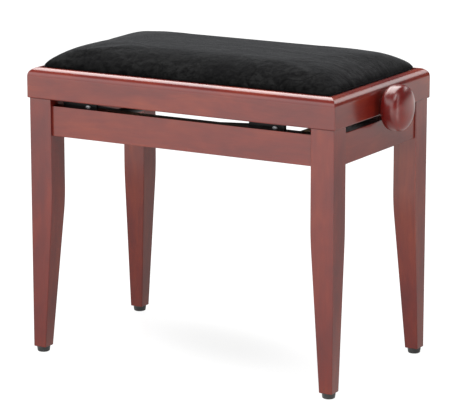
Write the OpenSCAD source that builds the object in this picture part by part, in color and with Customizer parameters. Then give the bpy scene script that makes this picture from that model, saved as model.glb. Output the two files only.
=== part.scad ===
// Height-adjustable piano bench. Two steel scissors lift the seat when the side knob turns
// a screw that runs along the bench. All sizes are in millimetres, +Z is up.
// The scissors are shown folded, with the seat frame resting just above the legs.

/* [Bench] */
// Width of the seat frame, left to right
seat_w = 560; // [540:5:620]
// Depth of the seat frame, front to back
seat_d = 325; // [315:5:360]
// How far the seat frame stands out past the legs on every side
frame_overhang = 3; // [1:0.5:6]
// Length of the wooden legs
leg_len = 414; // [380:1:450]
// Height of the glides under the legs
glide_h = 9; // [5:0.5:12]

/* [Legs] */
// Side of the square leg at its top
leg_top = 40; // [36:1:46]
// Side of the square leg at its foot
leg_foot = 23; // [20:0.5:34]
// Distance from the leg top down to where its two inner faces start to taper
taper_from = 148; // [90:1:200]
// Length over which the taper bends in gently
taper_blend = 45; // [10:1:80]
// Bevel around the bottom of each leg
leg_ease = 1.5; // [0.5:0.5:3]

/* [Aprons] */
// Height of the aprons
apron_h = 49; // [45:1:60]
// Thickness of the aprons
apron_t = 20; // [18:1:24]
// Distance from the leg top down to the apron top
apron_drop = 10.6; // [9:0.1:14]
// Distance from a leg's outer face in to the apron's outer face
apron_inset = 5; // [2:0.5:8]

/* [Seat frame] */
// Height of the seat frame rails
rail_h = 49; // [46:1:60]
// Thickness of the seat frame rails
rail_t = 21; // [20:0.5:26]
// Radius of the rounded top outer edge
rail_round = 15; // [8:0.5:15]
// Depth of the rabbet that takes the seat board and the cushion's edge
rabbet_d = 16; // [14:0.5:18]
// Width of the ledge that the seat board rests on
ledge_w = 5; // [4:0.5:8]
// Gap between the lowered seat frame and the leg tops
rest_gap = 0.4; // [0.3:0.1:1]

/* [Cushion] */
// Thickness of the plywood seat board
board_t = 12; // [9:1:15]
// Height of the cushion's crown above the seat frame
crown_h = 35; // [25:1:45]
// Thickness of the velvet cover
cover_t = 2; // [1:0.5:3]

/* [Scissor] */
// Position of the fixed left pivots from the bench's middle
pivot_left = -182; // [-190:1:-175]
// Position of the sliding right pivots with the seat down
pivot_right = 160; // [150:1:165]
// Distance from the seat frame's bottom edge down to the upper pivots
upper_drop = 15; // [14:0.5:18]
// Height of the upper pivots over the lower ones with the seat down
folded_rise = 21.5; // [20:0.5:24]
// How far the seat rises
lift = 100; // [60:5:105]
// Width of the scissor arms
arm_w = 14; // [12:1:16]
// Thickness of the scissor arms
arm_t = 4; // [3:0.5:4]
// Diameter of the pivot pins
pin_d = 8; // [6:0.5:8]
// Clearance between a pin and its hole, on the radius
pin_fit = 0.05; // [0.02:0.01:0.1]
// Thickness of the steel rails and brackets
steel_t = 3; // [2:0.5:3]

/* [Spindle and knob] */
// Height of the spindle's axis over the seat frame's bottom edge
spindle_z = 12; // [11:0.5:14]
// Diameter of the spindle's thread
spindle_d = 12; // [10:1:12]
// How far the knob stands out from the seat frame
knob_reach = 44; // [40:1:50]
// Largest diameter of the knob
knob_d = 73; // [60:1:76]

/* [Hidden] */
$fn = 48;

// heights of the base and of the lowered seat frame
leg_top_z = glide_h + leg_len;
frame_z = leg_top_z + rest_gap;
apron_top_z = leg_top_z - apron_drop;
apron_mid_z = apron_top_z - apron_h / 2;
board_z = frame_z + rail_h - rabbet_d;

// half sizes of the base: outer faces of the legs, and inner faces of the aprons
half_w = seat_w / 2 - frame_overhang;
half_d = seat_d / 2 - frame_overhang;
apron_in_x = half_w - apron_inset - apron_t;
apron_in_y = half_d - apron_inset - apron_t;

// taper of the two inner leg faces
taper_len = leg_len - taper_from;
taper_slope = (leg_top - leg_foot) / (taper_len - taper_blend / 2);
function taper_inset(s) = s < taper_blend
    ? taper_slope * s * s / (2 * taper_blend)
    : taper_slope * (s - taper_blend / 2);

// the scissors' geometry
fold_x = pivot_right - pivot_left;
arm_len = sqrt(fold_x * fold_x + folded_rise * folded_rise);
fold_angle = atan(folded_rise / fold_x);
open_angle = asin((folded_rise + lift) / arm_len);
slide_travel = fold_x - arm_len * cos(open_angle);
upper_z = frame_z - upper_drop;
lower_z = upper_z - folded_rise;
middle = [(pivot_left + pivot_right) / 2, (upper_z + lower_z) / 2];
pin_r = pin_d / 2;
hole_r = pin_r + pin_fit;

// layers of steel, counted inwards from the inner face of the front or back apron
ear_u = 3.5;
arm_b_u = ear_u + steel_t + 0.5;
arm_a_u = arm_b_u + arm_t + 0.5;
yoke_u = arm_a_u + arm_t + 0.5;

// the spindle and what it passes through
axis_z = frame_z + spindle_z;
rail_in_x = seat_w / 2 - rail_t;
yoke_bar_t = 8;
bearing_t = 3;
end_bracket_x = 116;
washer_t = 1.4;
journal_r = 5;

// fasteners
screw_r = 1.75;
screw_head_r = 4;
screw_head_h = 2;
bolt_r = 4;
dowel_r = 4;
dowel_len = 30;
block_h = 30;
block_z = 366;
block_reach = 34;
seat_block_leg = 34;

// puts the bench's middle left of the origin, so that bench and knob together are centred
module bench() translate([-knob_reach / 2, 0, 0]) children();

module front_and_back() {
    children();
    mirror([0, 1, 0]) children();
}

module left_and_right() {
    children();
    mirror([1, 0, 0]) children();
}

module four_corners() left_and_right() front_and_back() children();

// a flat shape, drawn in x and z, as a plate in one of the front steel layers
module layer(u, t) {
    translate([0, -apron_in_y + u + t, 0]) rotate([90, 0, 0]) linear_extrude(t) children();
}

// a round piece across the front steel layers, from depth u on
module across(x, z, u, len, r) {
    translate([x, -apron_in_y + u, z]) rotate([-90, 0, 0]) cylinder(r = r, h = len);
}

module tube_across(x, z, u, len, r, bore) {
    difference() {
        across(x, z, u, len, r);
        across(x, z, u - 1, len + 2, bore);
    }
}

// a pan head screw with a cross slot: the head's seat on the origin's plane, its point along +z
module screw(len) {
    cylinder(r = screw_r, h = len);
    translate([0, 0, -screw_head_h]) difference() {
        cylinder(r1 = screw_head_r - 1, r2 = screw_head_r, h = screw_head_h);
        translate([-2.6, -0.4, -1]) cube([5.2, 0.8, 2]);
        translate([-0.4, -2.6, -1]) cube([0.8, 5.2, 2]);
    }
}

module screw_bore(len) cylinder(r = screw_r, h = len);

// ---------- places of the fasteners ----------

module at_dowels() {
    for (dz = [-14, 14]) {
        four_corners() translate([half_w - leg_top, half_d - apron_inset - apron_t / 2,
            apron_mid_z + dz]) rotate([0, 90, 0]) children();
        four_corners() translate([half_w - apron_inset - apron_t / 2, half_d - leg_top,
            apron_mid_z + dz]) rotate([-90, 0, 0]) children();
    }
}

// leg bolts lie level, on the diagonal through each leg's inner corner
module at_leg_bolts() {
    four_corners() translate([-half_w + leg_top, -half_d + leg_top, block_z + block_h / 2])
        rotate([0, 90, 45]) children();
}

// from inside each corner block into the aprons
module at_block_screws() {
    four_corners() {
        translate([-half_w + leg_top + 24, -apron_in_y + 10, block_z + block_h / 2])
            rotate([90, 0, 0]) children();
        translate([-apron_in_x + 10, -half_d + leg_top + 24, block_z + block_h / 2])
            rotate([0, -90, 0]) children();
    }
}

module at_lower_rail_screws() {
    front_and_back() for (x = [-150, -60, 40, 120])
        translate([x, -apron_in_y + steel_t, lower_z - 14]) rotate([90, 0, 0]) children();
}

module at_upper_rail_screws() {
    front_and_back() for (x = [-205, -95, 35, 100])
        translate([x, -apron_in_y + ear_u + 17, board_z - steel_t]) children();
}

module at_bearing_screws() {
    for (y = [-18, 18])
        translate([rail_in_x - bearing_t, y, axis_z]) rotate([0, 90, 0]) children();
}

module at_end_bracket_screws() {
    for (y = [-9, 9])
        translate([end_bracket_x - 9, y, board_z - steel_t]) children();
}

module at_seat_block_screws() {
    four_corners() translate([-rail_in_x + 10, -seat_d / 2 + rail_t + 10, frame_z + 12])
        children();
}

module at_nut_screws() {
    for (y = [-11, 11])
        translate([pivot_right - yoke_bar_t / 2, y, axis_z]) rotate([0, 90, 0]) children();
}

// ---------- base ----------

// a leg with its outer corner on the origin and its inner faces towards +x and +y
module leg_shape() {
    steps = 6;
    z0 = glide_h;
    side = concat(
        [[leg_ease, z0], [leg_foot - leg_ease, z0], [leg_foot, z0 + leg_ease]],
        [for (i = [0:steps]) let (s = taper_blend * (1 - i / steps))
            [leg_top - taper_inset(s), leg_top_z - taper_from - s]],
        [[leg_top, leg_top_z], [0, leg_top_z], [0, z0 + leg_ease]]
    );
    intersection() {
        translate([0, leg_top, 0]) rotate([90, 0, 0]) linear_extrude(leg_top) polygon(side);
        rotate([90, 0, 90]) linear_extrude(leg_top) polygon(side);
    }
}

module leg(sx, sy) {
    color("#7b3f33") bench() difference() {
        translate([sx * half_w, sy * half_d, 0])
            mirror([sx > 0 ? 1 : 0, 0, 0]) mirror([0, sy > 0 ? 1 : 0, 0]) leg_shape();
        at_leg_bolts() translate([0, 0, -29]) cylinder(r = bolt_r, h = 32);
        at_dowels() translate([0, 0, -1]) cylinder(r = dowel_r, h = dowel_len / 2 + 1);
        at_glides() cylinder(r = 1.5, h = glide_h + 18);
    }
}

module leg_front_left() leg(-1, -1);
module leg_front_right() leg(1, -1);
module leg_back_left() leg(-1, 1);
module leg_back_right() leg(1, 1);

module apron_bores() {
    at_dowels() translate([0, 0, -dowel_len / 2]) cylinder(r = dowel_r, h = dowel_len);
    at_block_screws() screw_bore(25);
    at_lower_rail_screws() screw_bore(16);
}

module apron_long() {
    len = 2 * (half_w - leg_top);
    color("#8a463a") bench() difference() {
        translate([-len / 2, -half_d + apron_inset, apron_top_z - apron_h])
            cube([len, apron_t, apron_h]);
        apron_bores();
    }
}

module apron_short() {
    len = 2 * (half_d - leg_top);
    difference() {
        translate([half_w - apron_inset - apron_t, -len / 2, apron_top_z - apron_h])
            cube([apron_t, len, apron_h]);
        apron_bores();
    }
}

module apron_front() apron_long();
module apron_back() mirror([0, 1, 0]) apron_long();
module apron_left() color("#8a463a") bench() mirror([1, 0, 0]) apron_short();
module apron_right() color("#8a463a") bench() apron_short();

module apron_dowels() {
    color("#d8b98a") bench() at_dowels() translate([0, 0, -dowel_len / 2 + 0.5])
        cylinder(r = dowel_r, h = dowel_len - 1);
}

// a triangular block that fills the corner between two aprons behind the leg
module corner_blocks() {
    step = leg_top - apron_inset - apron_t;
    color("#c9a878") bench() difference() {
        four_corners() translate([-half_w + leg_top, -half_d + leg_top, block_z])
            linear_extrude(block_h) polygon([
                [0, -step], [block_reach, -step], [-step, block_reach], [-step, 0], [0, 0]
            ]);
        at_leg_bolts() translate([0, 0, -10]) cylinder(r = bolt_r + pin_fit, h = 50);
        at_block_screws() {
            screw_bore(25);
            translate([0, 0, -20]) cylinder(r = screw_head_r + 0.5, h = 20);
        }
    }
}

module block_screws() color("#c9b26a") bench() at_block_screws() screw(24);

module leg_bolts() {
    color("#b9bcc0") bench() at_leg_bolts() translate([0, 0, -28]) cylinder(r = bolt_r, h = 54);
}

block_face = (block_reach - (leg_top - apron_inset - apron_t)) / sqrt(2);

module leg_bolt_washers() {
    color("#b9bcc0") bench() at_leg_bolts() translate([0, 0, block_face]) difference() {
        cylinder(r = 9, h = 1.6);
        translate([0, 0, -1]) cylinder(r = bolt_r + pin_fit, h = 4);
    }
}

module leg_bolt_nuts() {
    color("#b9bcc0") bench() at_leg_bolts() translate([0, 0, block_face + 1.6]) difference() {
        cylinder(r = 7.5, h = 6.5, $fn = 6);
        translate([0, 0, -1]) cylinder(r = bolt_r, h = 9);
    }
}

module at_glides() {
    four_corners() translate([half_w - leg_foot / 2, half_d - leg_foot / 2, 0]) children();
}

module foot_glides() {
    r = leg_foot / 2 - 0.6;
    color("#1c1c1e") bench() at_glides() rotate_extrude() polygon([
        [4, 0], [r - 2.2, 0], [r - 0.8, 1.2], [r, glide_h - 2], [r, glide_h],
        [1.55, glide_h], [1.55, 4], [4, 4]
    ]);
}

module glide_nails() {
    color("#b9bcc0") bench() at_glides() rotate_extrude() polygon([
        [0, 2.4], [3.4, 2.4], [3.4, 4], [1.5, 4], [1.5, glide_h + 16], [0, glide_h + 18]
    ]);
}

// ---------- steel rails on the aprons ----------

lower_rail_x0 = -201;
lower_rail_x1 = 182;
lower_rail_top = 8.5;
lower_rail_bottom = 21;

module lower_rail() {
    color("#202124") bench() difference() {
        union() {
            layer(0, steel_t) translate([lower_rail_x0, lower_z - lower_rail_bottom])
                square([lower_rail_x1 - lower_rail_x0, lower_rail_top + lower_rail_bottom]);
            layer(0, 20) translate([lower_rail_x0, lower_z - lower_rail_bottom])
                square([lower_rail_x1 - lower_rail_x0, steel_t]);
        }
        across(pivot_left, lower_z, -1, 6, pin_r);
        layer(-1, steel_t + 2) slot(pivot_right, lower_z);
        at_lower_rail_screws() translate([0, 0, -5]) cylinder(r = screw_r + 0.2, h = 9);
    }
}

// outline of the slot that a sliding pivot needs, drawn in x and z
module slot(x, z) {
    r = pin_r + 0.15;
    x0 = x - slide_travel - 0.3;
    translate([x0, z - r]) square([x + 0.3 - x0, 2 * r]);
    for (cx = [x0, x + 0.3]) translate([cx, z]) circle(r = r);
}

module lower_rail_front() lower_rail();
module lower_rail_back() mirror([0, 1, 0]) lower_rail();
module lower_rail_screws() color("#b9bcc0") bench() at_lower_rail_screws() screw(15);

module lower_pivot_studs() {
    color("#b9bcc0") bench() front_and_back() {
        across(pivot_left, lower_z, 0, arm_a_u + arm_t + 0.5, pin_r);
        tube_across(pivot_left, lower_z, steel_t, arm_a_u - steel_t - 0.2, 6.5, pin_r);
    }
}

// ---------- scissor arms ----------

// a flat bar with round ends and three holes, from one pivot at a along angle
module arm_outline(a, angle) {
    translate(a) rotate(angle) difference() {
        union() {
            translate([0, -arm_w / 2]) square([arm_len, arm_w]);
            circle(d = arm_w);
            translate([arm_len, 0]) circle(d = arm_w);
        }
        for (s = [0, 0.5, 1]) translate([s * arm_len, 0]) circle(r = hole_r);
    }
}

// arms a rise to the right, arms b to the left
module arm_a() {
    color("#2a2b2e") bench() layer(arm_a_u, arm_t)
        arm_outline([pivot_left, lower_z], fold_angle);
}

module arm_b() {
    color("#2a2b2e") bench() layer(arm_b_u, arm_t)
        arm_outline([pivot_left, upper_z], -fold_angle);
}

module arm_front_a() arm_a();
module arm_back_a() mirror([0, 1, 0]) arm_a();
module arm_front_b() arm_b();
module arm_back_b() mirror([0, 1, 0]) arm_b();

// the tube that makes the two arms a turn together, around the lower left pivots
module cross_tube() {
    len = 2 * (apron_in_y - arm_a_u - arm_t);
    color("#2a2b2e") bench() translate([pivot_left, -len / 2, lower_z])
        rotate([-90, 0, 0]) difference() {
            cylinder(r = 7.5, h = len);
            translate([0, 0, -1]) cylinder(r = 6, h = len + 2);
        }
}

// push-on caps over the ends of the lower left studs, inside the cross tube
module lower_pivot_clips() {
    color("#b9bcc0") bench() front_and_back()
        tube_across(pivot_left, lower_z, arm_a_u + arm_t + 0.1, 0.4, 5.8, pin_r);
}

module centre_pins() {
    color("#c3c6ca") bench() front_and_back() {
        across(middle[0], middle[1], arm_b_u - 2.2, 2, 6.5);
        across(middle[0], middle[1], arm_b_u - 0.5, arm_a_u + arm_t - arm_b_u + 1, pin_r);
        across(middle[0], middle[1], arm_a_u + arm_t + 0.2, 2, 6.5);
    }
}

// the rod that makes the two arms b turn together; its turned ends run in the lower slots
module cross_rod() {
    inner = apron_in_y - yoke_u;
    color("#b9bcc0") bench() {
        translate([pivot_right, -inner, lower_z]) rotate([-90, 0, 0])
            cylinder(r = 6, h = 2 * inner);
        front_and_back() across(pivot_right, lower_z, 0.4, yoke_u, pin_r);
    }
}

module slide_spacers() {
    color("#c3c6ca") bench() front_and_back() {
        tube_across(pivot_right, lower_z, steel_t + 0.2, arm_b_u - steel_t - 0.2, 6.5, pin_r);
        tube_across(pivot_right, lower_z, arm_b_u + arm_t, yoke_u - arm_b_u - arm_t, 6.5, pin_r);
    }
}

// ---------- steel rails under the seat board ----------

upper_rail_x0 = -231;
upper_rail_x1 = 200;
left_ear = [-231, -167];
right_ear = [113, 177];
ear_low = 8;
flange_w = 25;

module ear_outline(x0, x1, slant) {
    polygon([
        [x0 - 6, frame_z + 16], [x0, frame_z + 8], [x0, upper_z - ear_low + 2],
        [x0 + 2, upper_z - ear_low], [x1 - 2, upper_z - ear_low],
        [x1, upper_z - ear_low + 2], [x1 - slant, frame_z + 8], [x1 - slant + 8, frame_z + 16]
    ]);
}

module upper_rail() {
    len = upper_rail_x1 - upper_rail_x0;
    color("#202124") bench() difference() {
        union() {
            layer(ear_u, steel_t) {
                translate([upper_rail_x0, frame_z + 14])
                    square([len, board_z - frame_z - 14]);
                intersection() {
                    union() {
                        ear_outline(left_ear[0], left_ear[1], 0);
                        ear_outline(right_ear[0], right_ear[1], 4);
                    }
                    translate([upper_rail_x0, upper_z - 20]) square([len, 60]);
                }
            }
            layer(ear_u, flange_w) translate([upper_rail_x0, board_z - steel_t])
                square([len, steel_t]);
        }
        across(pivot_left, upper_z, 0, 9, pin_r);
        layer(0, 9) slot(pivot_right, upper_z);
        at_upper_rail_screws() translate([0, 0, -3]) cylinder(r = screw_r + 0.2, h = 9);
    }
}

module upper_rail_front() upper_rail();
module upper_rail_back() mirror([0, 1, 0]) upper_rail();
module upper_rail_screws() color("#b9bcc0") bench() at_upper_rail_screws() screw(12);

// round-headed pins, their heads on the apron side of the ears
module upper_pivot_pins() {
    color("#d5d8dc") bench() front_and_back() {
        across(pivot_left, upper_z, 1, ear_u - 1, 6);
        across(pivot_left, upper_z, 2, arm_b_u + arm_t + 0.5 - 2, pin_r);
        tube_across(pivot_left, upper_z, ear_u + steel_t, 0.4, 6, pin_r - 1);
        across(pivot_left, upper_z, arm_b_u + arm_t + 0.15, 0.3, 6);
    }
}

// ---------- sliding carriage ----------

cheek_w = 22;

module carriage_yoke() {
    half = apron_in_y - yoke_u;
    color("#2a2b2e") bench() difference() {
        union() {
            translate([pivot_right - yoke_bar_t / 2, -half, axis_z - 10])
                cube([yoke_bar_t, 2 * half, 20]);
            front_and_back() layer(yoke_u, steel_t) polygon([
                [pivot_right - cheek_w / 2, upper_z - 8],
                [pivot_right + cheek_w / 2, upper_z - 8],
                [pivot_right + cheek_w / 2, axis_z + 4],
                [pivot_right + cheek_w / 2 - 6, axis_z + 10],
                [pivot_right - cheek_w / 2 + 6, axis_z + 10],
                [pivot_right - cheek_w / 2, axis_z + 4]
            ]);
        }
        translate([pivot_right - 20, 0, axis_z]) rotate([0, 90, 0])
            cylinder(r = spindle_d / 2 + 1, h = 40);
        front_and_back() across(pivot_right, upper_z, yoke_u - 1, steel_t + 2, pin_r);
        at_nut_screws() translate([0, 0, -1]) cylinder(r = screw_r, h = 12);
    }
}

module carriage_pins() {
    color("#d5d8dc") bench() front_and_back() {
        across(pivot_right, upper_z, 1, ear_u - 1.2, 6);
        across(pivot_right, upper_z, 2, yoke_u + steel_t - 2, pin_r);
    }
}

module carriage_spacers() {
    color("#c3c6ca") bench() front_and_back() tube_across(pivot_right, upper_z,
        ear_u + steel_t + 0.2, arm_a_u - ear_u - steel_t - 0.4, 6, pin_r);
}

nut_len = 18;

module spindle_nut() {
    color("#c8a24a") bench() difference() {
        translate([pivot_right + yoke_bar_t / 2, -15, axis_z - 10]) cube([nut_len, 30, 20]);
        translate([pivot_right - 20, 0, axis_z]) rotate([0, 90, 0])
            cylinder(r = spindle_d / 2 + pin_fit, h = 60);
        at_nut_screws() screw_bore(20);
    }
}

module nut_screws() color("#b9bcc0") bench() at_nut_screws() screw(20);

// ---------- spindle, its bearings and the knob ----------

spindle_x0 = end_bracket_x - 4;
spindle_x1 = seat_w / 2 + 28;
collar_x = rail_in_x - bearing_t - 8.4;

module along_x(x, len, r) translate([x, 0, axis_z]) rotate([0, 90, 0]) cylinder(r = r, h = len);

module spindle() {
    color("#c3c6ca") bench() {
        along_x(spindle_x0, 10, journal_r);
        along_x(end_bracket_x + steel_t + 0.5, spindle_x1 - end_bracket_x - steel_t - 0.5,
            spindle_d / 2);
    }
}

module spindle_collar() {
    color("#8d9095") bench() difference() {
        along_x(collar_x, 8, 10);
        along_x(collar_x - 1, 10, spindle_d / 2);
    }
}

knob_x0 = seat_w / 2 + washer_t + 0.2;
knob_mid = 23;
knob_r = knob_d / 2;
neck_r = 14;

// the turned outline of the knob: x from the seat frame's face, y from the axis
function knob_back(r) = knob_mid - (knob_mid - 4) * pow(1 - pow(r / knob_r, 3), 1 / 3);
function knob_front(r) = knob_mid
    + (knob_reach - 3.5 - knob_mid) * pow(1 - pow(r / knob_r, 5), 1 / 5)
    + 3.5 * (1 - pow(r / knob_r, 2));

module knob() {
    n = 14;
    outline = concat(
        [[0, knob_x0 - seat_w / 2], [neck_r, knob_x0 - seat_w / 2]],
        [for (i = [0:n]) let (r = knob_r * sin(i * 90 / n)) if (r > neck_r + 1)
            [r, knob_back(r)]],
        [for (i = [n - 1:-1:0]) let (r = knob_r * sin(i * 90 / n)) [r, knob_front(r)]]
    );
    color("#7a2c22") bench() difference() {
        translate([seat_w / 2, 0, axis_z]) rotate([0, 90, 0])
            rotate_extrude($fn = 72) polygon(outline);
        along_x(seat_w / 2, spindle_x1 - seat_w / 2 + 1, 8);
    }
}

module knob_insert() {
    color("#c8a24a") bench() difference() {
        along_x(knob_x0 + 1, spindle_x1 - knob_x0 - 1, 8);
        along_x(knob_x0, spindle_x1 - knob_x0 + 1, spindle_d / 2);
    }
}

module knob_washer() {
    color("#c3c6ca") bench() difference() {
        along_x(seat_w / 2, washer_t, 13);
        along_x(seat_w / 2 - 1, washer_t + 2, spindle_d / 2 + pin_fit);
    }
}

module spindle_bearing() {
    color("#202124") bench() difference() {
        translate([rail_in_x - bearing_t, -26, axis_z - 11]) cube([bearing_t, 52, 22]);
        along_x(rail_in_x - 10, 20, spindle_d / 2 + pin_fit);
        at_bearing_screws() translate([0, 0, -1]) cylinder(r = screw_r + 0.2, h = 6);
    }
}

module bearing_screws() color("#b9bcc0") bench() at_bearing_screws() screw(16);

module end_bracket() {
    color("#202124") bench() difference() {
        union() {
            translate([end_bracket_x, -15, axis_z - 9])
                cube([steel_t, 30, board_z - axis_z + 9]);
            translate([end_bracket_x - 17, -15, board_z - steel_t])
                cube([17 + steel_t, 30, steel_t]);
        }
        along_x(end_bracket_x - 2, 10, journal_r + pin_fit);
        at_end_bracket_screws() translate([0, 0, -1]) cylinder(r = screw_r + 0.2, h = 6);
    }
}

module end_bracket_screws() color("#b9bcc0") bench() at_end_bracket_screws() screw(12);

// ---------- seat frame ----------

// section of a rail: x from its outer face inwards, y up from its bottom edge
module rail_section() {
    difference() {
        square([rail_t, rail_h]);
        difference() {
            translate([-1, rail_h - rail_round]) square([rail_round + 1, rail_round + 1]);
            translate([rail_round, rail_h - rail_round]) circle(r = rail_round, $fn = 96);
        }
        translate([rail_t - ledge_w, rail_h - rabbet_d]) square([ledge_w + 1, rabbet_d + 1]);
        difference() {
            translate([-1, -1]) square([3, 3]);
            translate([2, 2]) circle(r = 2);
        }
    }
}

// a mitred rail along x, with its outer face towards -y
module mitred_rail(len) {
    intersection() {
        translate([-len / 2, 0, 0]) rotate([90, 0, 90]) linear_extrude(len) rail_section();
        linear_extrude(rail_h) polygon([
            [-len / 2, 0], [len / 2, 0], [len / 2 - rail_t, rail_t], [-len / 2 + rail_t, rail_t]
        ]);
    }
}

module long_rail() {
    color("#8a463a") bench() translate([0, -seat_d / 2, frame_z]) mitred_rail(seat_w);
}

module short_rail() {
    translate([seat_w / 2, 0, frame_z]) rotate(90) mitred_rail(seat_d);
}

module seat_rail_front() long_rail();
module seat_rail_back() mirror([0, 1, 0]) long_rail();
module seat_rail_left() color("#8a463a") bench() mirror([1, 0, 0]) short_rail();

module seat_rail_right() {
    color("#8a463a") bench() difference() {
        short_rail();
        along_x(rail_in_x - 1, rail_t + 2, spindle_d / 2 + 0.6);
        at_bearing_screws() screw_bore(16);
    }
}

module seat_corner_blocks() {
    color("#c9a878") bench() difference() {
        four_corners() translate([-rail_in_x, -seat_d / 2 + rail_t, frame_z + 6])
            linear_extrude(board_z - frame_z - 6)
                polygon([[0, 0], [seat_block_leg, 0], [0, seat_block_leg]]);
        at_seat_block_screws() {
            screw_bore(40);
            translate([0, 0, -20]) cylinder(r = screw_head_r + 0.5, h = 20);
        }
    }
}

module seat_block_screws() color("#c9b26a") bench() at_seat_block_screws() screw(30);

board_gap = 1;
board_w = seat_w - 2 * (rail_t - ledge_w + board_gap);
board_d = seat_d - 2 * (rail_t - ledge_w + board_gap);

module seat_board() {
    color("#d9bd8e") bench() difference() {
        translate([-board_w / 2, -board_d / 2, board_z]) cube([board_w, board_d, board_t]);
        at_upper_rail_screws() screw_bore(12);
        at_end_bracket_screws() screw_bore(12);
        at_seat_block_screws() screw_bore(30);
    }
}

// ---------- cushion ----------

// one level of the cushion: how far in from its edge, and how high over the seat frame
cushion_levels = [[0, -3.9], [0, 1], [1.5, 7], [12, 18], [28, 28], [45, 33], [95, 35]];

// the cushion's outer form, with every face moved in by skin
module cushion_form(skin) {
    hull() for (l = cushion_levels) {
        inset = l[0] + skin;
        h = l[1] > 0 ? l[1] * crown_h / 35 - (l[1] > 6 ? skin : 0) : l[1];
        corner = max(4, 10 + l[0] * 0.5 - skin);
        w = board_w + 1 - 2 * inset;
        d = board_d + 1 - 2 * inset;
        translate([0, 0, frame_z + rail_h + h]) linear_extrude(0.4)
            for (x = [-1, 1], y = [-1, 1])
                translate([x * (w / 2 - corner), y * (d / 2 - corner)])
                    circle(r = corner, $fn = 32);
    }
}

module foam_pad() color("#e8dfa8") bench() cushion_form(cover_t);

module seat_cover() {
    color("#1b1b1d") bench() difference() {
        cushion_form(0);
        cushion_form(cover_t);
    }
}

module cover_staples() {
    color("#c3c6ca") bench() {
        for (x = [-207:46:207]) front_and_back()
            translate([x - 5, -board_d / 2 + 8, board_z - 0.9]) cube([10, 1, 0.9]);
        for (y = [-90:45:90]) left_and_right()
            translate([-board_w / 2 + 8, y - 5, board_z - 0.9]) cube([1, 10, 0.9]);
    }
}

leg_front_left();
leg_front_right();
leg_back_left();
leg_back_right();
apron_front();
apron_back();
apron_left();
apron_right();
apron_dowels();
corner_blocks();
block_screws();
leg_bolts();
leg_bolt_washers();
leg_bolt_nuts();
foot_glides();
glide_nails();
lower_rail_front();
lower_rail_back();
lower_rail_screws();
lower_pivot_studs();
arm_front_a();
arm_back_a();
cross_tube();
lower_pivot_clips();
centre_pins();
arm_front_b();
arm_back_b();
cross_rod();
slide_spacers();
upper_rail_front();
upper_rail_back();
upper_rail_screws();
upper_pivot_pins();
carriage_yoke();
carriage_pins();
carriage_spacers();
spindle_nut();
nut_screws();
spindle();
spindle_collar();
knob_insert();
knob();
knob_washer();
spindle_bearing();
bearing_screws();
end_bracket();
end_bracket_screws();
seat_rail_front();
seat_rail_back();
seat_rail_left();
seat_rail_right();
seat_corner_blocks();
seat_block_screws();
seat_board();
foam_pad();
seat_cover();
cover_staples();
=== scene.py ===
import math
import bmesh
import bpy
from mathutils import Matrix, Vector


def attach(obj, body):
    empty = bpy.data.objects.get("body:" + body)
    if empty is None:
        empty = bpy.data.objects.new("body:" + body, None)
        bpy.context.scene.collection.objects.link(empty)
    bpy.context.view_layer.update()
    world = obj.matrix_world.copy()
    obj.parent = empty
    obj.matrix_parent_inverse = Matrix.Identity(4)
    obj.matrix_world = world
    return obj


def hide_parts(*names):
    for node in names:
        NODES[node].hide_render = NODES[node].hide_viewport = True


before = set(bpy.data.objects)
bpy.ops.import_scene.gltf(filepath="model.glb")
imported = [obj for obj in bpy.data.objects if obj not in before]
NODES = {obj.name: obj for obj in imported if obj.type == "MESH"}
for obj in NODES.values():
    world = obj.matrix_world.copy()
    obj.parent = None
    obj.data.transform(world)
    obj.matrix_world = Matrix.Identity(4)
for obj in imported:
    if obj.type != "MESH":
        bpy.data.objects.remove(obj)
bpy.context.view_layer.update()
SCENE = bpy.context.scene

# ---------------------------------------------------------------- sizes, in mm as in the CAD
MID = -22.0                     # x of the bench's middle
SEAT_W, SEAT_D = 280.0, 162.5   # half sizes of the seat frame
LEG_W, LEG_D = 277.0, 159.5     # half sizes over the legs
FRAME_Z, RAIL_H, RAIL_T = 423.4, 49.0, 21.0
TOP_Z = FRAME_Z + RAIL_H
APRON_TOP, APRON_H, APRON_T, APRON_IN = 412.4, 49.0, 20.0, 5.0
SHORT_APRON_IN = 2.8            # the two short aprons stand nearer to the legs' outer faces
LEG_Z0, LEG_Z1, LEG_TOP, LEG_FOOT = 9.0, 423.0, 40.0, 23.0
LEG_STRAIGHT, LEG_BLEND = 148.0, 45.0   # straight length under a leg's top, and the bend into its taper
AXIS_Z = 435.4                  # height of the spindle
PAD_W, PAD_D = 263.3, 145.8     # half sizes of the cushion between the rails


def at(x, y, z):
    """A point given in mm from the bench's middle on the floor, in metres in the row frame."""
    return Vector(((x + MID) / 1000, y / 1000, z / 1000))


# ---------------------------------------------------------------- meshes
def mesh_object(name, verts, faces):
    me = bpy.data.meshes.new(name)
    me.from_pydata([tuple(v) for v in verts], [], faces)
    bm = bmesh.new()
    bm.from_mesh(me)
    bmesh.ops.remove_doubles(bm, verts=bm.verts, dist=2e-6)
    bmesh.ops.dissolve_degenerate(bm, edges=bm.edges, dist=2e-6)
    bmesh.ops.recalc_face_normals(bm, faces=bm.faces)
    bm.to_mesh(me)
    bm.free()
    ob = bpy.data.objects.new(name, me)
    SCENE.collection.objects.link(ob)
    return ob


def loft(name, rings, capped=True, closed=False):
    n = len(rings[0])
    verts = [p for r in rings for p in r]
    faces = []
    count = len(rings) if closed else len(rings) - 1
    for k in range(count):
        a, b = k * n, ((k + 1) % len(rings)) * n
        faces += [(a + i, a + (i + 1) % n, b + (i + 1) % n, b + i) for i in range(n)]
    if capped and not closed:
        faces += [tuple(range(n)), tuple(range((len(rings) - 1) * n, len(rings) * n))]
    return mesh_object(name, verts, faces)


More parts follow.
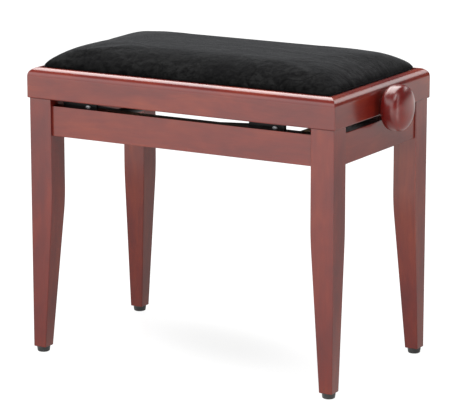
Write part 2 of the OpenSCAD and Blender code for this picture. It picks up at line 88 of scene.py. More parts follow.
def smooth(ob, angle=40.0, weighted=True):
    ob.data.shade_smooth()
    ob.data.set_sharp_from_angle(angle=math.radians(angle))
    if weighted:
        w = ob.modifiers.new("even_shading", "WEIGHTED_NORMAL")
        w.mode, w.weight, w.keep_sharp = "FACE_AREA", 100, True
    return ob


def bake_modifiers(ob):
    dg = bpy.context.evaluated_depsgraph_get()
    me = bpy.data.meshes.new_from_object(ob.evaluated_get(dg), depsgraph=dg)
    ob.modifiers.clear()
    ob.data = me
    return ob


def round_rect(x0, y0, x1, y1, r, n=3):
    """Corner points of a rectangle with rounded corners, counter-clockwise."""
    pts = []
    for cx, cy, a0 in ((x0 + r, y0 + r, 180), (x1 - r, y0 + r, 270), (x1 - r, y1 - r, 0), (x0 + r, y1 - r, 90)):
        for i in range(n + 1):
            a = math.radians(a0 + 90 * i / n)
            pts.append((cx + r * math.cos(a), cy + r * math.sin(a)))
    return pts


def lathe(name, outline, origin, axis="Z", sides=64):
    """outline: (radius, height) pairs from one end to the other; height runs along axis from origin, in mm."""
    rings = []
    for r, h in outline:
        ring = []
        for i in range(sides):
            a = 2 * math.pi * i / sides
            c, s = r * math.cos(a), r * math.sin(a)
            p = {"Z": (c, s, h), "X": (h, c, s), "Y": (c, h, -s)}[axis]
            ring.append(at(origin[0] + p[0], origin[1] + p[1], origin[2] + p[2]))
        rings.append(ring)
    closed = outline[0][0] > 0.001 and outline[-1] == outline[0]
    if closed:
        rings.pop()
    return loft(name, rings, capped=True, closed=closed)


def finish_piece(ob, body, material, slot, *replaces):
    ob.data.materials.clear()
    ob.data.materials.append(material)
    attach(ob, body)
    if replaces:
        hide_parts(*replaces)
    return ob


# ---------------------------------------------------------------- materials
class Nodes:
    """Adds nodes to a tree, linking the inputs that are sockets and setting the others."""

    def __init__(self, tree):
        self.tree = tree

    def put(self, kind, inputs=(), **props):
        n = self.tree.nodes.new(kind)
        for k, v in props.items():
            setattr(n, k, v)
        for k, v in dict(inputs).items():
            if isinstance(v, bpy.types.NodeSocket):
                self.tree.links.new(v, n.inputs[k])
            else:
                n.inputs[k].default_value = v
        return n

    def maths(self, op, a, b=0.0, c=0.0):
        return self.put("ShaderNodeMath", {0: a, 1: b, 2: c}, operation=op).outputs[0]

    def dot(self, vector, direction):
        n = self.put("ShaderNodeVectorMath", {0: vector, 1: direction}, operation="DOT_PRODUCT")
        return n.outputs["Value"]

    def part(self, vector, index):
        return self.put("ShaderNodeSeparateXYZ", {0: vector}).outputs[index]

    def ranged(self, value, low, high, to_low=0.0, to_high=1.0, soft=False):
        """Takes low..high to to_low..to_high, easing in and out where soft."""
        n = self.put("ShaderNodeMapRange", {"Value": value, "From Min": low, "From Max": high,
                                            "To Min": to_low, "To Max": to_high})
        if soft:
            n.interpolation_type = "SMOOTHSTEP"
        return n.outputs[0]


class Paint(Nodes):
    """A node material, built a few nodes at a time."""

    def __init__(self, name, **sockets):
        self.material = bpy.data.materials.new(name)
        self.material.use_nodes = True
        super().__init__(self.material.node_tree)
        self.tree.nodes.clear()
        out = self.tree.nodes.new("ShaderNodeOutputMaterial")
        self.bsdf = self.tree.nodes.new("ShaderNodeBsdfPrincipled")
        self.tree.links.new(self.bsdf.outputs[0], out.inputs[0])
        self.coords = self.tree.nodes.new("ShaderNodeTexCoord").outputs["Object"]
        for k, v in sockets.items():
            self.bsdf.inputs[k.replace("_", " ")].default_value = v

    def mapped(self, scale=(1, 1, 1), turn=(0, 0, 0), shift=(0, 0, 0)):
        return self.stretched(self.coords, scale, turn, shift)

    def stretched(self, vector, scale, turn=(0, 0, 0), shift=(0, 0, 0)):
        n = self.put("ShaderNodeMapping", {"Vector": vector, "Scale": scale, "Rotation": turn, "Location": shift})
        return n.outputs[0]

    def noise(self, vector, scale, detail=3.0, rough=0.5, distort=0.0):
        n = self.put("ShaderNodeTexNoise", {"Vector": vector, "Scale": scale, "Detail": detail,
                                            "Roughness": rough, "Distortion": distort})
        return n.outputs[0]

    def ramp(self, value, *stops):
        n = self.put("ShaderNodeValToRGB", {"Fac": value})
        while len(n.color_ramp.elements) < len(stops):
            n.color_ramp.elements.new(0.5)
        for e, (pos, colour) in zip(n.color_ramp.elements, stops):
            e.position = pos
            e.color = (*colour, 1) if isinstance(colour, tuple) else (colour, colour, colour, 1)
        return n.outputs[0]

    def mix(self, factor, a, b, blend="MIX"):
        n = self.put("ShaderNodeMix", data_type="RGBA", blend_type=blend)
        for sock, v in ((n.inputs[0], factor), (n.inputs[6], a), (n.inputs[7], b)):
            if isinstance(v, bpy.types.NodeSocket):
                self.tree.links.new(v, sock)
            elif sock.type == "RGBA":
                sock.default_value = (*v, 1) if isinstance(v, tuple) else (v, v, v, 1)
            else:
                sock.default_value = v
        return n.outputs[2]

    def facing_up(self):
        """The upward part of the surface's own normal."""
        return self.part(self.put("ShaderNodeNewGeometry").outputs["True Normal"], 2)

    def to(self, socket, value):
        self.tree.links.new(value, self.bsdf.inputs[socket])
        return self

    def bump(self, height, strength=0.3, distance=0.0002, socket="Normal"):
        n = self.put("ShaderNodeBump", {"Height": height, "Strength": strength, "Distance": distance})
        return self.to(socket, n.outputs[0])


GRAIN = {"X": (0, 0, 0), "Y": (0, 0, math.pi / 2), "Z": (0, math.pi / 2, 0)}


def lacquered_wood(name, axis, shift, tones, coat_rough=0.19, rough=0.42, mottle=1.0, coat=0.86, painted_shade_top=False):
    """Stained beech under satin lacquer, its grain along one axis."""
    p = Paint(name, Roughness=rough, Coat_Weight=coat, Coat_Roughness=coat_rough, Coat_IOR=1.5)
    p.bsdf.inputs["Specular IOR Level"].default_value = 0.02
    dark, middle, light = tones
    base = p.mapped(turn=GRAIN[axis], shift=shift)
    wander = p.put("ShaderNodeMix", {0: 0.035}, data_type="VECTOR")
    drift = p.put("ShaderNodeTexNoise", {"Vector": base, "Scale": 6.0, "Detail": 2.0}).outputs[1]
    p.tree.links.new(base, wander.inputs[4])
    p.tree.links.new(drift, wander.inputs[5])
    patches = p.noise(p.stretched(base, (0.55, 1.3, 1.3)), 15.0, 3.0, 0.55, 0.35)
    bands = p.noise(p.stretched(wander.outputs[1], (1, 26, 26)), 6.5, 4.0, 0.6, 0.1)
    streaks = p.noise(p.stretched(base, (1, 30, 30)), 42.0, 3.0, 0.6)
    flecks = p.put("ShaderNodeTexVoronoi", {"Vector": p.stretched(base, (1, 7, 7)), "Scale": 210.0,
                                            "Randomness": 1.0}).outputs[0]
    pores = p.ramp(flecks, (0.02, 1.0), (0.17, 0.0))
    tone = p.ramp(patches, (0.30, dark), (0.50, middle), (0.72, light))
    tone = p.mix(p.maths("MULTIPLY", p.ramp(bands, (0.36, 0.0), (0.66, 1.0)), 0.42 * mottle), tone, dark)
    deeper = p.mix(1.0, tone, (0.62, 0.50, 0.48), "MULTIPLY")
    tone = p.mix(p.ramp(streaks, (0.32, 0.30), (0.62, 0.0)), tone, deeper)
    tone = p.mix(p.maths("MULTIPLY", pores, 0.35), tone, tuple(c * 0.35 for c in dark))
    if painted_shade_top:                # painted shade: the boards' upward faces are painted nearly black, for the shade under the seat frame
        tone = p.mix(p.maths("GREATER_THAN", p.facing_up(), 0.9), tone, tuple(c * 0.12 for c in dark))
    p.to("Base Color", tone)
    p.to("Roughness", p.ranged(bands, 0.0, 1.0, rough - 0.06, rough + 0.08))
    grain = p.maths("ADD", p.maths("MULTIPLY", streaks, 0.6), p.maths("MULTIPLY", pores, -0.8))
    p.bump(grain, 0.30, 0.00006)
    peel = p.noise(base, 150.0, 2.0, 0.5)
    broad = p.noise(base, 22.0, 1.0, 0.4)
    p.bump(p.maths("ADD", peel, p.maths("MULTIPLY", broad, 2.0)), 0.25, 0.00005, "Coat Normal")
    return p.material


MAHOGANY = ((0.080, 0.0070, 0.0062), (0.116, 0.0102, 0.0055), (0.160, 0.0192, 0.0060))
WOOD = {
    "X": lacquered_wood("mahogany_along_x", "X", (0.3, 0.1, 0.7), MAHOGANY),
    # the X2 and Y2 copies of the wood paint shade on the aprons' tops
    "X2": lacquered_wood("mahogany_along_x_painted_shade_top", "X", (2.3, 0.6, 0.2), MAHOGANY, painted_shade_top=True),
    "Y2": lacquered_wood("mahogany_along_y_painted_shade_top", "Y", (0.7, 2.2, 0.5), MAHOGANY, painted_shade_top=True),
    "Y": lacquered_wood("mahogany_along_y", "Y", (1.2, 0.4, 0.1), MAHOGANY),
    "Z": lacquered_wood("mahogany_along_z", "Z", (0.9, 1.4, 0.3), MAHOGANY),
}
KNOB_TONES = ((0.075, 0.0020, 0.0015), (0.110, 0.0035, 0.0015), (0.150, 0.0080, 0.0022))
KNOB_WOOD = lacquered_wood("knob_mahogany", "X", (0.4, 0.9, 0.5), KNOB_TONES, 0.28, 0.38, 0.6, coat=0.95)


def raw_wood(name, axis, dark, light):
    p = Paint(name, Roughness=0.68)
    base = p.mapped(turn=GRAIN[axis], shift=(0.7, 0.2, 0.4))
    bands = p.noise(p.stretched(base, (1, 22, 22)), 9.0, 5.0, 0.62, 0.2)
    fine = p.noise(p.stretched(base, (1, 35, 35)), 60.0, 2.0)
    tone = p.ramp(bands, (0.3, dark), (0.7, light))
    tone = p.mix(p.ramp(fine, (0.35, 0.35), (0.6, 0.0)), tone, tuple(c * 0.6 for c in dark))
    p.to("Base Color", tone).bump(fine, 0.4, 0.0001)
    return p.material


BEECH = raw_wood("raw_beech", "Y", (0.40, 0.23, 0.115), (0.56, 0.36, 0.20))
BEECH_X = raw_wood("raw_beech_dowels", "X", (0.42, 0.25, 0.13), (0.60, 0.40, 0.23))


def plywood():
    p = Paint("plywood", Roughness=0.7)
    base = p.mapped(shift=(0.2, 0.5, 0.1))
    bands = p.noise(p.stretched(base, (1, 14, 14)), 8.0, 5.0, 0.6, 0.3)
    # painted shade: the board's faces are nearly black, standing for the deep shade under the seat that the aprons'
    # tops reflect
    face = p.ramp(bands, (0.3, (0.016, 0.011, 0.008)), (0.7, (0.038, 0.027, 0.019)))
    layers = p.put("ShaderNodeTexWave", {"Vector": base, "Scale": 95.0, "Distortion": 0.6, "Detail": 1.0},
                   bands_direction="Z").outputs[1]
    edge = p.ramp(layers, (0.35, (0.20, 0.11, 0.055)), (0.55, (0.55, 0.38, 0.22)))
    flat = p.maths("GREATER_THAN", p.maths("ABSOLUTE", p.facing_up()), 0.7)
    p.to("Base Color", p.mix(flat, edge, face))
    p.bump(p.noise(base, 260.0, 2.0), 0.3, 0.0001)
    return p.material


def metal(name, colour, rough, metallic=1.0, speck=0.12):
    p = Paint(name, Metallic=metallic, Roughness=rough)
    base = p.mapped()
    cloud = p.noise(base, 70.0, 4.0, 0.65)
    p.to("Base Color", p.ramp(cloud, (0.3, tuple(c * 0.78 for c in colour)), (0.65, colour)))
    p.to("Roughness", p.ranged(cloud, 0.0, 1.0, rough - speck, rough + speck))
    p.bump(p.noise(base, 900.0, 3.0, 0.6), 0.25, 0.00005)
    return p.material


def powder_coat():
    p = Paint("black_powder_coat", Roughness=0.48)
    p.bsdf.inputs["Specular IOR Level"].default_value = 0.22
    base = p.mapped()
    p.to("Base Color", p.ramp(p.noise(base, 40.0, 3.0), (0.3, 0.004), (0.7, 0.008)))
    p.to("Roughness", p.ranged(p.noise(base, 120.0, 2.0), 0.0, 1.0, 0.42, 0.58))
    p.bump(p.noise(base, 1400.0, 2.0, 0.6), 0.5, 0.0001)
    return p.material


def moulded_plastic():
    p = Paint("moulded_black_plastic", Roughness=0.38)
    base = p.mapped()
    p.to("Base Color", p.ramp(p.noise(base, 90.0, 3.0), (0.3, 0.010), (0.7, 0.020)))
    p.to("Roughness", p.ranged(p.noise(base, 60.0, 3.0), 0.0, 1.0, 0.3, 0.5))
    p.bump(p.noise(base, 700.0, 2.0), 0.25, 0.00008)
    return p.material


def black_velvet():
    p = Paint("black_velvet", Roughness=0.9, Sheen_Weight=0.155, Sheen_Roughness=0.33)
    p.bsdf.inputs["Specular IOR Level"].default_value = 0.0
    p.bsdf.inputs["Sheen Tint"].default_value = (0.78, 0.80, 0.84, 1)
    base = p.mapped()
    # the pile lies in soft sweeps, mottled at a finger's width, with a few thin curved strokes
    sweep = p.noise(p.stretched(base, (1.0, 2.4, 1.5), (0, 0, 0.3)), 7.0, 3.0, 0.6, 1.6)
    streak = p.noise(p.stretched(base, (1.0, 1.9, 1.3), (0, 0, -0.12)), 24.0, 4.0, 0.62, 0.8)
    mottle = p.noise(base, 120.0, 3.0, 0.65, 0.3)
    loops = p.noise(p.mapped(scale=(1, 1.3, 1), shift=(0.37, 0.11, 0.2)), 11.0, 0.0, 0.5, 0.6)
    stroke = p.ramp(p.maths("ABSOLUTE", p.maths("SUBTRACT", loops, 0.5)), (0.0, 1.0), (0.013, 0.0))
    where = p.ramp(p.noise(base, 5.0, 1.0), (0.46, 0.0), (0.58, 1.0))
    pile = p.noise(base, 1900.0, 2.0, 0.7)
    ribs = p.noise(base, 420.0, 2.0, 0.6)
    shade = p.maths("ADD", p.maths("MULTIPLY", sweep, 0.6), p.maths("MULTIPLY", streak, 0.4))
    tone = p.ramp(shade, (0.36, (0.0046, 0.0046, 0.0047)), (0.50, (0.0084, 0.0085, 0.0085)),
                  (0.66, (0.0155, 0.0157, 0.0157)))
    tone = p.mix(p.ramp(mottle, (0.36, 0.80), (0.60, 0.0)), tone, (0.0014, 0.0014, 0.0015))
    tone = p.mix(p.maths("MULTIPLY", p.maths("MULTIPLY", stroke, where), 0.8), tone, (0.0008, 0.0008, 0.0008))
    tone = p.mix(p.ramp(pile, (0.35, 0.5), (0.65, 0.0)), tone, (0.0012, 0.0012, 0.0013))
    p.to("Base Color", tone)
    nap = p.maths("ADD", p.maths("MULTIPLY", pile, 0.35), p.maths("MULTIPLY", ribs, 0.25))
    dents = p.maths("ADD", mottle, p.maths("MULTIPLY", stroke, -0.25))
    nap = p.maths("ADD", nap, p.maths("MULTIPLY", dents, 1.6))
    n1 = p.put("ShaderNodeBump", {"Height": shade, "Strength": 0.5, "Distance": 0.0026}).outputs[0]
    n2 = p.put("ShaderNodeBump", {"Height": nap, "Strength": 0.6, "Distance": 0.0006, "Normal": n1}).outputs[0]
    p.to("Normal", n2)
    return p.material


PLY, STEEL, PLASTIC, VELVET = plywood(), powder_coat(), moulded_plastic(), black_velvet()
ZINC = metal("zinc_plate", (0.62, 0.63, 0.65), 0.30)
BRIGHT = metal("bright_pins", (0.42, 0.42, 0.44), 0.34)
BRASS = metal("brass", (0.68, 0.46, 0.18), 0.28)


# ---------------------------------------------------------------- wooden base
def taper(z):
    """Width of a leg at height z."""
    s = LEG_Z1 - LEG_STRAIGHT - z
    if s <= 0:
        return LEG_TOP
    slope = (LEG_TOP - LEG_FOOT) / (LEG_Z1 - LEG_Z0 - LEG_STRAIGHT - LEG_BLEND / 2)
    return LEG_TOP - (slope * s * s / (2 * LEG_BLEND) if s < LEG_BLEND else slope * (s - LEG_BLEND / 2))


def leg(name, sx, sy):
    ease, edge = 1.3, 1.5       # rounding of the foot, and of the four long edges
    bend = LEG_Z1 - LEG_STRAIGHT - LEG_BLEND
    stations = [(LEG_Z0 + ease * (1 - math.cos(a)), ease * (1 - math.sin(a)))
                for a in (0, math.pi / 6, math.pi / 3, math.pi / 2)]
    stations += [(z, 0.0) for z in (20, 60, 120, 180, 226)]
    stations += [(bend + LEG_BLEND * i / 10, 0.0) for i in range(11)]
    stations += [(z, 0.0) for z in (280, 330, 380, 415, LEG_Z1 - 0.5)] + [(LEG_Z1 - 0.15, 0.15), (LEG_Z1, 0.5)]
    rings = []
    for z, inset in stations:
        w = taper(z)
        ring = round_rect(inset, inset, w - inset, w - inset, max(edge - inset * 0.6, 0.5))
        rings.append([at(sx * (LEG_W - u), sy * (LEG_D - v), z) for u, v in ring])
    ob = smooth(loft(name + "_turned", rings))
    return finish_piece(ob, "base", WOOD["Z"], "mahogany_wood", name)


def apron(name, along_x, side):
    if along_x:
        half, out = LEG_W - LEG_TOP, LEG_D - APRON_IN
        section = round_rect(out - APRON_T, APRON_TOP - APRON_H, out, APRON_TOP, 1.0)
        rings = [[at(x, side * y, z) for y, z in section] for x in (-half, 0, half)]
    else:
        half, out = LEG_D - LEG_TOP, LEG_W - SHORT_APRON_IN
        section = round_rect(LEG_W - APRON_IN - APRON_T, APRON_TOP - APRON_H, out, APRON_TOP, 1.0)
        rings = [[at(side * x, y, z) for x, z in section] for y in (-half, 0, half)]
    ob = smooth(loft(name + "_board", rings))
    return finish_piece(ob, "base", WOOD["X2" if along_x else "Y2"], "mahogany_wood", name)


for leg_name, side_x, side_y in (("leg_front_left", -1, -1), ("leg_front_right", 1, -1),
                                 ("leg_back_left", -1, 1), ("leg_back_right", 1, 1)):
    leg(leg_name, side_x, side_y)
apron("apron_front", True, -1)
apron("apron_back", True, 1)
apron("apron_left", False, -1)
apron("apron_right", False, 1)


# ---------------------------------------------------------------- seat frame
def rail_section():
    """(distance in from the outer face, height over the frame's bottom), round the section."""
    e = 2                       # radius of the outer lower edge
    pts = [(0.0, 2.0)] + [(e - e * math.cos(a), e - e * math.sin(a)) for a in (math.pi / 6, math.pi / 3)]
    pts += [(2.0, 0.0), (RAIL_T - 0.8, 0.0), (RAIL_T - 0.23, 0.23), (RAIL_T, 0.8)]
    pts += [(RAIL_T, 33.0), (16.0, 33.0), (16.0, RAIL_H - 0.5), (15.85, RAIL_H - 0.15), (15.5, RAIL_H)]
    r = 15                      # radius of the rounded top edge
    pts += [(r - r * math.sin(a), RAIL_H - r + r * math.cos(a)) for a in [math.radians(5 * i) for i in range(19)]]
    return pts


def seat_rail(name, half_len, out, turn, wood):
    """A rail mitred at both ends, its outer corners rounded a little."""
    section = rail_section()
    stations = [(-1, a) for a in (225, 240, 255, 270)] + [(1, a) for a in (270, 285, 300, 315)]
    rings = []
    for end, angle in stations:
        ring = []
        for d, h in section:
            r = max(2.0 - d, 0.5) if d < 15.9 else 0.02
            a = math.radians(angle)
            x = end * (half_len - d - r) + r * math.cos(a) - (0.03 * end if angle in (225, 315) else 0)
            y = -out + d + r + r * math.sin(a)
            c, s = math.cos(turn), math.sin(turn)
            ring.append(at(x * c - y * s, x * s + y * c, FRAME_Z + h))
        rings.append(ring)
    ob = loft(name + "_moulded", rings)
    if name == "seat_rail_right":
        tool = lathe("bore_tool", [(6.6, -30), (6.6, 30)], (SEAT_W - 10, 0, AXIS_Z), "X", 48)
        cut = ob.modifiers.new("bore", "BOOLEAN")
        cut.operation, cut.solver, cut.object = "DIFFERENCE", "EXACT", tool
        bake_modifiers(ob)
        bpy.data.objects.remove(tool)
    smooth(ob, 30)
    return finish_piece(ob, "seat", wood, "mahogany_wood", name)


seat_rail("seat_rail_front", SEAT_W, SEAT_D, 0, WOOD["X"])
seat_rail("seat_rail_right", SEAT_D, SEAT_W, math.pi / 2, WOOD["Y"])
seat_rail("seat_rail_back", SEAT_W, SEAT_D, math.pi, WOOD["X"])
seat_rail("seat_rail_left", SEAT_D, SEAT_W, -math.pi / 2, WOOD["Y"])


# ---------------------------------------------------------------- knob and spindle
def knob():
    r0, mid, reach, neck = 36.5, 23.0, 44.0, 14.0   # radius, place of the widest point, length, neck radius
    dome, full = 3.5, 3.6                           # crown of the face, and how full its shoulder is
    back = lambda r: mid - (mid - 4) * (1 - (r / r0) ** 3) ** (1 / 3)
    front = lambda r: (mid + (reach - dome - mid) * (1 - (r / r0) ** full) ** (1 / full)
                       + dome * (1 - (r / r0) ** 2))
    n = 56
    radii = [r0 * math.sin(i * math.pi / 2 / n) for i in range(n + 1)]
    outline = [(8.02, 1.6), (neck - 0.5, 1.6), (neck, 2.1), (neck, 3.2)]
    outline += [(r, back(r)) for r in radii if r > neck + 0.6]
    outline += [(r, front(r)) for r in reversed(radii[:-1]) if r > 0.2] + [(0.2, front(0))]
    ob = lathe("knob_turned", outline, (SEAT_W, 0, AXIS_Z), "X", 128)
    smooth(ob, 50, False)
    finish_piece(ob, "knob_spindle", KNOB_WOOD, "knob_wood", "knob")


knob()


def thread(name, x0, x1, r, pitch, depth):
    """A right-hand screw thread along x, its crests at radius r."""
    sides, rings = 28, []
    turns = (x1 - x0) / pitch
    steps = int(turns * sides)
    verts, faces = [], []
    profile = [(0.0, r - depth), (0.30, r - depth), (0.48, r), (0.72, r)]   # share of a pitch, radius
    for i in range(steps + 1):
        a = 2 * math.pi * i / sides
        for share, rad in profile:
            x = min(max(x0 + pitch * (i / sides + share - 1), x0), x1)
            verts.append(at(x, rad * math.cos(a), AXIS_Z + rad * math.sin(a)))
    k = len(profile)
    for i in range(steps):
        for j in range(k - 1):
            a, b = i * k + j, (i + 1) * k + j
            faces.append((a, b, b + 1, a + 1))
        if i + sides + 1 <= steps:
            a, b = i * k + k - 1, (i + 1) * k + k - 1
            c, d = (i + sides) * k, (i + sides + 1) * k
            faces.append((a, b, d, c))
    me = bpy.data.meshes.new(name)
    me.from_pydata([tuple(v) for v in verts], [], faces)
    ob = bpy.data.objects.new(name, me)
    SCENE.collection.objects.link(ob)
    return ob


def spindle():
    outline = [(0.01, 112), (4.6, 112), (5, 112.5), (5, 121.6), (4.9, 121.7), (4.9, 243.8), (5.6, 244.6),
               (6, 245), (6, 307), (5.2, 308), (0.01, 308)]
    core = lathe("spindle_shaft", outline, (0, 0, AXIS_Z), "X", 48)
    smooth(core, 35, False)
    finish_piece(core, "knob_spindle", ZINC, "zinc_steel", "spindle")
    t = thread("spindle_thread", x0=121.8, x1=244.0, r=6.0, pitch=1.75, depth=1.02)
    smooth(t, 25, False)
    finish_piece(t, "knob_spindle", ZINC, "zinc_steel")


spindle()


# ---------------------------------------------------------------- cushion
def height_in(inset):
    """Height of the cushion over the seat frame at a distance in from its edge, before it is stuffed."""
    table = [(-1.2, 3.0), (-0.6, 5.0), (0.6, 6.8), (2.4, 8.4), (6.0, 11.6), (12.0, 16.2), (20.0, 21.6),
             (28.0, 26.0), (38.0, 29.8), (50.0, 32.0), (75.0, 33.6), (150.0, 34.4)]
    for (a, ha), (b, hb) in zip(table, table[1:]):
        if inset <= b:
            return ha + (hb - ha) * (inset - a) / (b - a)
    return table[-1][1]


def pad_ring(inset, z, n=10):
    w, d = PAD_W - inset, PAD_D - inset
    r = max(min(9 + inset * 0.75, d - 0.5), 2)
    return [at(x, y, z) for x, y in round_rect(-w, -d, w, d, r, n)]


def cushion():
    rings = [pad_ring(inset, TOP_Z + rise) for inset, rise in ((1.0, -3.6), (0.0, -2.8), (0.0, 0.4), (-0.8, 1.6))]
    insets = [-1.2, -0.6, 0.6, 2.0, 4.0, 6.0, 9.0, 12.0, 16.0, 20.0, 24.0, 28.0, 33.0, 38.0, 44.0, 50.0, 60.0,
              75.0, 95.0, 115.0, 135.0, 143.0]
    rings += [pad_ring(i, TOP_Z + height_in(i)) for i in insets]
    ob = loft("velvet_cushion", rings)
    remesh = ob.modifiers.new("remesh", "REMESH")
    remesh.mode, remesh.voxel_size = "VOXEL", 0.0045
    relax = ob.modifiers.new("relax", "SMOOTH")
    relax.factor, relax.iterations = 0.5, 16
    bake_modifiers(ob)
    start = [v.co.copy() for v in ob.data.vertices]
    stuff(ob, start)
    sub = ob.modifiers.new("sub", "SUBSURF")
    sub.levels = sub.render_levels = 1
    bake_modifiers(ob)
    for v in ob.data.vertices:
        keep_in(v.co)
    ob.data.shade_smooth()
    finish_piece(ob, "seat", VELVET, "velvet", "seat_cover", "foam_pad")


def keep_in(co):
    """Keeps a point of the cushion between the rails where it is below their top, and no lower than 3.7 mm under
    their top.
    """
    x, y, z = co.x * 1000 - MID, co.y * 1000, co.z * 1000
    if z < TOP_Z + 1.5:
        w, d = PAD_W + 0.3, PAD_D + 0.3
        x, y = min(max(x, -w), w), min(max(y, -d), d)
    z = max(z, TOP_Z - 3.7)
    co.x, co.y, co.z = (x + MID) / 1000, y / 1000, z / 1000


def stuff(ob, start):
    """Blows the cover up against its own stiffness, so that the velvet carries real tension, and keeps the result."""
    pins = ob.vertex_groups.new(name="held")
    for v in ob.data.vertices:
        up = v.co.z * 1000 - TOP_Z
        if up < 5.0:
            pins.add([v.index], 1.0 if up < 2.0 else (5.0 - up) / 3.0, "REPLACE")
    m = ob.modifiers.new("cloth", "CLOTH")
    s = m.settings
    s.quality, s.mass = 6, 0.35
    s.tension_stiffness = s.compression_stiffness = 30.0
    s.shear_stiffness, s.bending_stiffness = 12.0, 6.0
    s.use_pressure, s.uniform_pressure_force = True, 1.6
    s.effector_weights.gravity = 0.0
    s.vertex_group_mass = "held"
    m.collision_settings.use_collision = False
    frames = 20
    m.point_cache.frame_start, m.point_cache.frame_end = 1, frames
    for f in range(1, frames + 1):
        SCENE.frame_set(f)
    dg = bpy.context.evaluated_depsgraph_get()
    done = [v.co.copy() for v in ob.evaluated_get(dg).data.vertices]
    ob.modifiers.clear()
    SCENE.frame_set(1)
    cap, share = 0.003, 0.6     # the furthest a point moves, in metres, and the share of it that is kept
    for v, a, b in zip(ob.data.vertices, start, done):
        move = b - a
        if move.length > cap:
            move *= cap / move.length
        v.co = a + move * share
    settle = ob.modifiers.new("settle", "SMOOTH")
    settle.factor, settle.iterations = 0.5, 10
    settle.vertex_group, settle.invert_vertex_group = "held", True
    bake_modifiers(ob)


cushion()


# ---------------------------------------------------------------- CAD nodes that stay, with their finishes
def dress(names, material, bevel=0.0):
    for n in names:
        ob = NODES[n]
        ob.data.materials.clear()
        ob.data.materials.append(material)
        weld = ob.modifiers.new("weld", "WELD")
        weld.merge_threshold = 1e-6
        if bevel:
            b = ob.modifiers.new("edges", "BEVEL")
            b.width, b.segments, b.limit_method, b.angle_limit = bevel, 2, "ANGLE", math.radians(40)
            b.harden_normals = False
        for poly in ob.data.polygons:
            poly.use_smooth = True
        if ob.data.has_custom_normals:
            bpy.context.view_layer.objects.active = ob
            with bpy.context.temp_override(object=ob, active_object=ob):
                bpy.ops.mesh.customdata_custom_splitnormals_clear()
        w = ob.modifiers.new("even_shading", "WEIGHTED_NORMAL")
        w.mode, w.weight, w.keep_sharp = "FACE_AREA", 100, True


dress(["corner_blocks", "seat_corner_blocks"], BEECH, 0.0006)
dress(["apron_dowels"], BEECH_X)
dress(["seat_board"], PLY)
dress(["lower_rail_front", "lower_rail_back", "upper_rail_front", "upper_rail_back",
       "arm_front_a", "arm_back_a", "arm_front_b", "arm_back_b", "cross_tube",
       "carriage_yoke", "spindle_bearing", "end_bracket", "spindle_collar"], STEEL, 0.0004)
dress(["block_screws", "leg_bolts", "leg_bolt_washers", "leg_bolt_nuts", "glide_nails",
       "lower_rail_screws", "lower_pivot_studs", "lower_pivot_clips", "cross_rod", "slide_spacers",
       "upper_rail_screws", "carriage_spacers", "nut_screws", "bearing_screws",
       "end_bracket_screws", "seat_block_screws", "cover_staples", "knob_washer"], ZINC)
dress(["centre_pins", "upper_pivot_pins", "carriage_pins"], BRIGHT, 0.0003)
dress(["spindle_nut", "knob_insert"], BRASS, 0.0004)
dress(["foot_glides"], PLASTIC, 0.0003)


# ---------------------------------------------------------------- studio
def floor():
    """Pale glowing floor, a little darker under the bench: a painted shadow in its glow. The lacquer reflects it at
    another brightness than the
    camera sees: it brightens to the front and far behind, with a strip off the right end."""
    p = Paint("studio_floor", Roughness=0.16)
    p.bsdf.inputs["Base Color"].default_value = (0.07, 0.07, 0.07, 1)
    p.bsdf.inputs["Specular IOR Level"].default_value = 0.05
    place = p.put("ShaderNodeMapping", {"Vector": p.coords, "Location": (-0.06, 0.04, 0), "Rotation": (0, 0, -0.35),
                                        "Scale": (1, 0.45, 1)}, vector_type="TEXTURE")
    under = p.put("ShaderNodeVectorMath", {0: place.outputs[0]}, operation="LENGTH").outputs["Value"]
    # rim raises the glow away from the bench's middle, so the camera sees a soft painted shadow under the bench
    rim = p.ranged(under, 0.02, 0.38, 0.0, 0.175, soft=True)
    near = p.ranged(p.dot(p.coords, (0.45, -1.0, 0)), -0.10, 1.60, 0.60, 2.34)
    far = p.ranged(p.dot(p.coords, (0.45, 0.9, 0)), 2.05, 2.4, 0.0, 0.6)
    across = p.maths("ABSOLUTE", p.dot(p.coords, (0.06, 1.0, 0)))
    strip = p.ranged(across, 0.08, 0.30, 2.6, 0.0)
    onward = p.ranged(p.part(p.coords, 0), 0.7, 1.2)
    glow = p.maths("MULTIPLY_ADD", strip, onward, p.maths("ADD", near, far))
    seen = p.put("ShaderNodeLightPath").outputs["Is Camera Ray"]
    p.to("Emission Color", p.mix(seen, (1.0, 0.985, 0.95), (1.0, 1.0, 1.0)))
    p.to("Emission Strength", p.put("ShaderNodeMix", {0: seen, 2: glow, 3: p.maths("ADD", rim, 0.815)}).outputs[0])
    ob = mesh_object("studio_floor", [(-40, -40, 0), (40, -40, 0), (40, 40, 0), (-40, 40, 0)], [(0, 1, 2, 3)])
    ob.data.materials.append(p.material)


def softbox(name, centre, target, size, radiance, colour=(1, 1, 1)):
    data = bpy.data.lights.new(name, "AREA")
    data.shape, data.size, data.size_y = "RECTANGLE", size[0], size[1]
    data.energy = radiance * math.pi * size[0] * size[1]
    data.color = colour
    ob = bpy.data.objects.new(name, data)
    ob.location = centre
    ob.rotation_mode = "QUATERNION"
    ob.rotation_quaternion = (Vector(target) - Vector(centre)).to_track_quat("-Z", "Y")
    ob.visible_camera = False
    SCENE.collection.objects.link(ob)
    return ob


floor()
softbox("top_softbox", (-1.05, 0.98, 2.5), (-1.05, 0.98, 0), (2.3, 2.46), 9.0, (1.0, 0.975, 0.96))
softbox("back_softbox", (1.18, 3.06, 1.91), (0.28, 0, 0.46), (2.0, 0.8), 3.3)


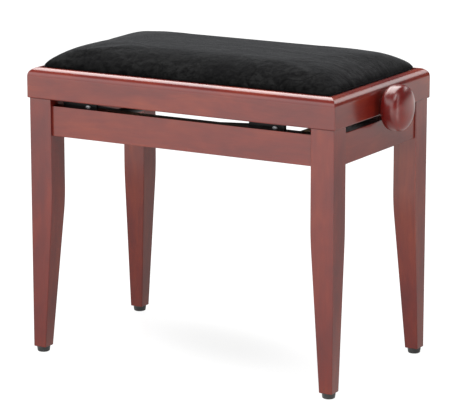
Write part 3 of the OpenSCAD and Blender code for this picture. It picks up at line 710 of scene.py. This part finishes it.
def studio_world():
    """Plain white to the camera. Lit and reflected: dim walls, a broad white one in front on the left,
    an upright strip of light on the right, and a small lamp high in front."""
    w = bpy.data.worlds.new("studio")
    w.use_nodes = True
    n = Nodes(w.node_tree)
    sky = n.tree.nodes["Background"]
    way = n.put("ShaderNodeTexCoord").outputs["Generated"]
    up = n.part(way, 2)
    lobe = n.ranged(n.dot(way, (-0.55, -0.835, 0.0)), 0.25, 0.85, soft=True)
    low = n.ranged(up, 0.56, 0.76, 1.0, 0.0, soft=True)
    wall = n.maths("MULTIPLY", lobe, low)
    gain = n.ranged(up, 0.10, 0.50, 2.2, 3.5)
    fill = n.ranged(n.dot(way, (0.86, -0.50, 0.10)), 0.35, 0.95, 0.13, 0.20, soft=True)
    across = n.maths("ABSOLUTE", n.dot(way, (0.06, 1.0, 0.0)))
    narrow = n.ranged(across, 0.05, 0.18, 3.6, 0.0, soft=True)
    onward = n.ranged(n.part(way, 0), 0.45, 0.75, soft=True)
    lamp = n.ranged(n.dot(way, (0.32, -0.38, 0.87)), 0.945, 0.985, 0.0, 7.0, soft=True)
    extra = n.maths("ADD", n.maths("MULTIPLY", narrow, onward), lamp)
    level = n.maths("MULTIPLY_ADD", wall, gain, n.maths("ADD", fill, extra))
    seen = n.put("ShaderNodeLightPath").outputs["Is Camera Ray"]
    n.tree.links.new(n.maths("MAXIMUM", level, seen), sky.inputs[1])
    sky.inputs[0].default_value = (1, 1, 1, 1)
    return w


SCENE.world = studio_world()
SCENE.view_settings.view_transform = "Standard"
SCENE.view_settings.look = "None"

# ---------------------------------------------------------------- camera
cam_data = bpy.data.cameras.new("camera")
cam_data.sensor_width, cam_data.lens = 36.0, 199.2
cam_data.clip_start, cam_data.clip_end = 0.1, 200.0
cam = bpy.data.objects.new("camera", cam_data)
yaw, pitch = math.radians(30.134), math.radians(12.8165)
look = Vector((-math.sin(yaw) * math.cos(pitch), math.cos(yaw) * math.cos(pitch), -math.sin(pitch)))
cam.location = (2.0816, -3.5935, 1.1903)
cam.rotation_mode = "QUATERNION"
cam.rotation_quaternion = look.to_track_quat("-Z", "Y")
SCENE.collection.objects.link(cam)
SCENE.camera = cam
